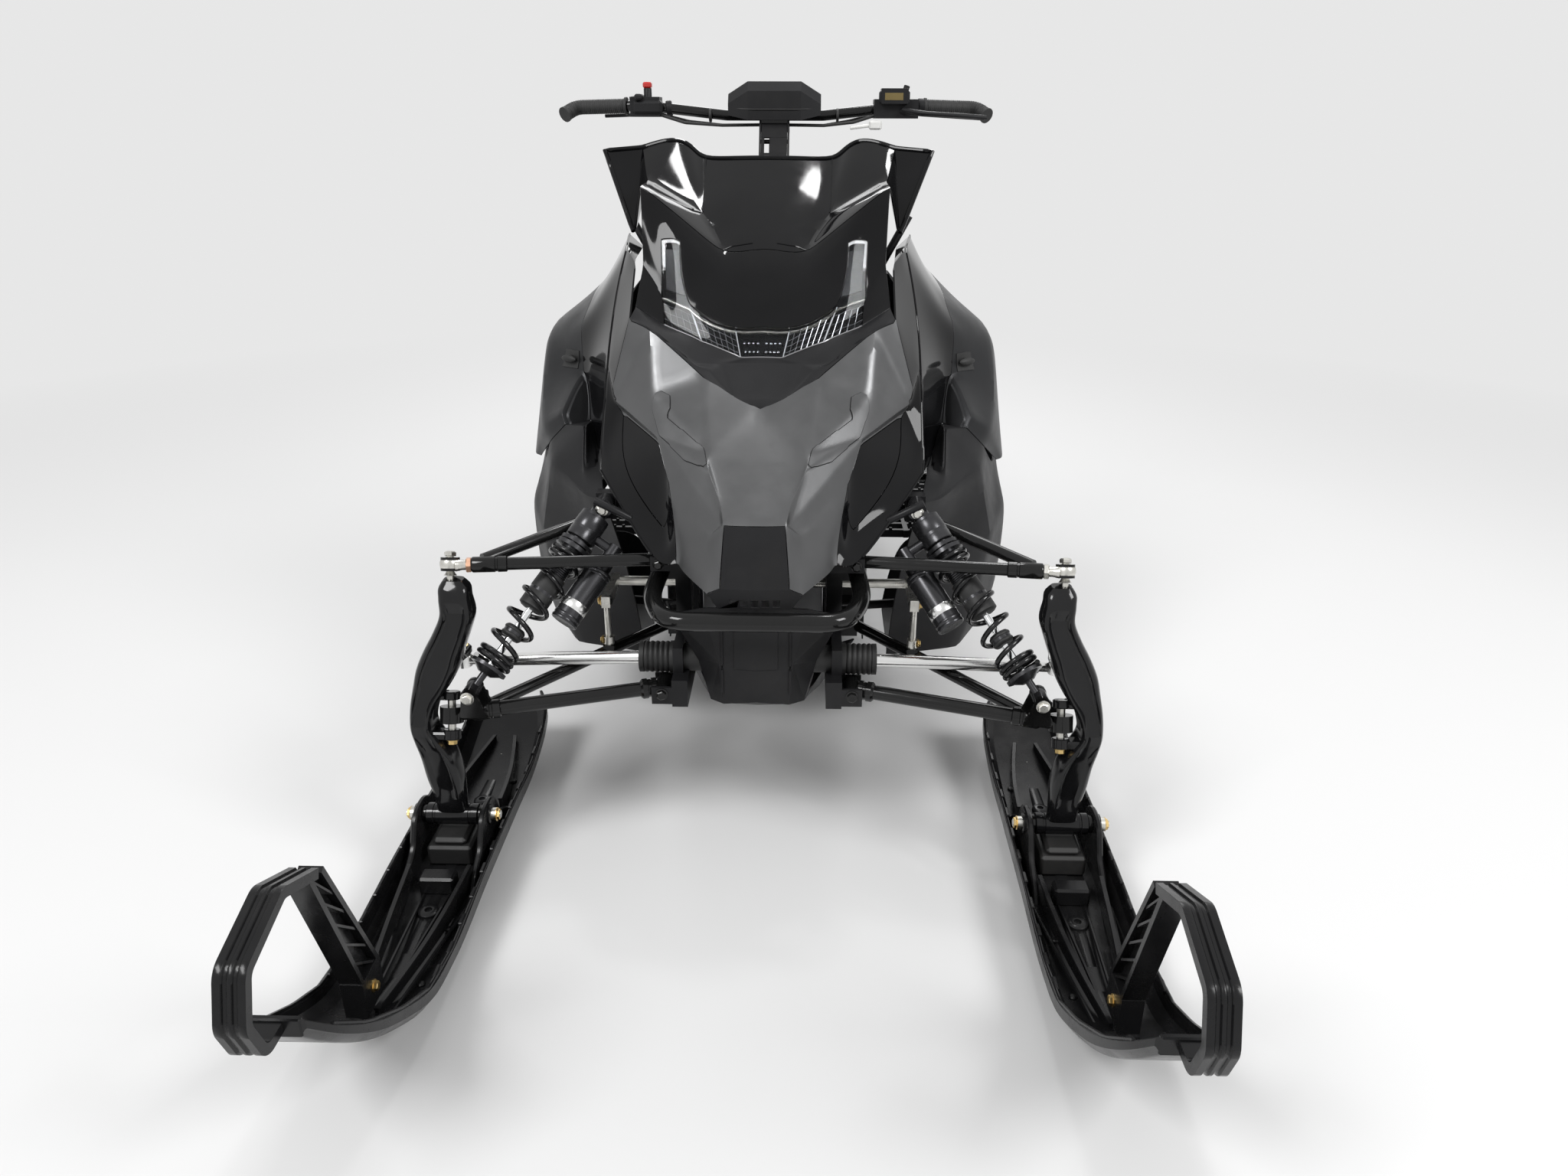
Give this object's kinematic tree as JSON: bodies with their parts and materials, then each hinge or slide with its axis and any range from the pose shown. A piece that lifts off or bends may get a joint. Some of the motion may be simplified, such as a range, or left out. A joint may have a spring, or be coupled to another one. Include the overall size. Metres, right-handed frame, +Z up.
{
  "type": "snowmobile",
  "caption": "Black snowmobile with steering skis, coil-over front suspension, lugged rubber track under a tunnel, seat, windscreen and handlebar.",
  "frame": {"origin": "centre of the bounding box on the floor", "axes": "+Z up, the front faces -Y, +X is the rider's left"},
  "size_m": [1.25, 3.1196, 1.338],
  "materials": {
    "gloss_black_body": "high gloss",
    "charcoal_body": "satin metallic",
    "dark_plastic": "fine texture",
    "ski_plastic": "semi gloss",
    "black_tube": "gloss powder coat",
    "black_forging": "gloss",
    "frame_paint": "satin",
    "steel": "zinc plated",
    "bright_alloy": "polished",
    "damper_grey": "hard anodised",
    "spring_black": "gloss",
    "rubber": "matt",
    "track_rubber": "matt",
    "cast_alloy": "cast",
    "rail_alloy": "black anodised",
    "wheel_plastic": "satin",
    "clear_lens": "clear",
    "red_lens": "clear",
    "seat_cover": "grained"
  },
  "bodies": {
    "chassis": {"front_frame": "frame_paint", "engine_block": "cast_alloy", "tunnel": "frame_paint", "running_boards": "frame_paint", "toe_holds": "black_tube", "belly_pan": "dark_plastic", "hood": "charcoal_body", "lamp_surround": "dark_plastic", "nose_plate": "dark_plastic", "cowl": "gloss_black_body", "headlight": "clear_lens", "windshield": "gloss_black_body", "side_panels": "gloss_black_body", "flank_panels": "charcoal_body", "lower_panels": "dark_plastic", "console": "dark_plastic", "seat": "seat_cover", "front_bumper": "black_tube", "rear_bumper": "black_tube", "snow_flap": "rubber", "tail_light": "red_lens", "track": "track_rubber", "skid_frame": "rail_alloy", "idler_wheels": "wheel_plastic", "drive_axle": "frame_paint", "upper_arms": "black_tube", "lower_arms": "black_tube", "front_shocks": "damper_grey", "front_springs": "spring_black", "sway_links": "steel", "tie_boots": "rubber"},
    "handlebar_body": {"handlebar": "black_tube", "grips": "rubber", "bar_pad": "dark_plastic", "controls": "dark_plastic", "bar_cables": "rubber"},
    "knuckle_body_left": {"knuckle_left": "black_forging"},
    "ski_body_left": {"ski_left": "ski_plastic", "ski_loop_left": "ski_plastic", "ski_hardware_left": "steel"},
    "tie_rod_body_left": {"tie_rod_left": "bright_alloy"},
    "knuckle_body_right": {"knuckle_right": "black_forging"},
    "ski_body_right": {"ski_right": "ski_plastic", "ski_loop_right": "ski_plastic", "ski_hardware_right": "steel"},
    "tie_rod_body_right": {"tie_rod_right": "bright_alloy"}
  },
  "joints": [
    {"name": "steering", "type": "hinge", "parent": "chassis", "child": "handlebar_body", "pos_m": [0, 0.25658, 1.262], "axis": [0, 0.5736, 0.8191], "range_deg": [-35, 35]},
    {"name": "knuckle_turn_left", "type": "hinge", "parent": "chassis", "child": "knuckle_body_left", "pos_m": [0.52, -0.83342, 0.319], "axis": [0, 0.3255, 0.9455], "range_deg": [-27, 27]},
    {"name": "ski_pitch_left", "type": "hinge", "parent": "knuckle_body_left", "child": "ski_body_left", "pos_m": [0.54, -0.83342, 0.115], "axis": [1, 0, 0], "range_deg": [-15, 10]},
    {"name": "tie_rod_slide_left", "type": "slide", "parent": "chassis", "child": "tie_rod_body_left", "axis": [1, 0, 0], "range_m": [-0.062, 0.062]},
    {"name": "knuckle_turn_right", "type": "hinge", "parent": "chassis", "child": "knuckle_body_right", "pos_m": [-0.52, -0.83342, 0.319], "axis": [0, 0.3255, 0.9455], "range_deg": [-27, 27]},
    {"name": "ski_pitch_right", "type": "hinge", "parent": "knuckle_body_right", "child": "ski_body_right", "pos_m": [-0.54, -0.83342, 0.115], "axis": [1, 0, 0], "range_deg": [-15, 10]},
    {"name": "tie_rod_slide_right", "type": "slide", "parent": "chassis", "child": "tie_rod_body_right", "axis": [1, 0, 0], "range_m": [-0.062, 0.062]}
  ],
  "couplings": [
    {"joint": "knuckle_turn_left", "follows": "steering", "ratio": 0.77},
    {"joint": "tie_rod_slide_left", "follows": "steering", "m_per_rad": -0.1},
    {"joint": "knuckle_turn_right", "follows": "steering", "ratio": 0.77},
    {"joint": "tie_rod_slide_right", "follows": "steering", "m_per_rad": -0.1}
  ]
}
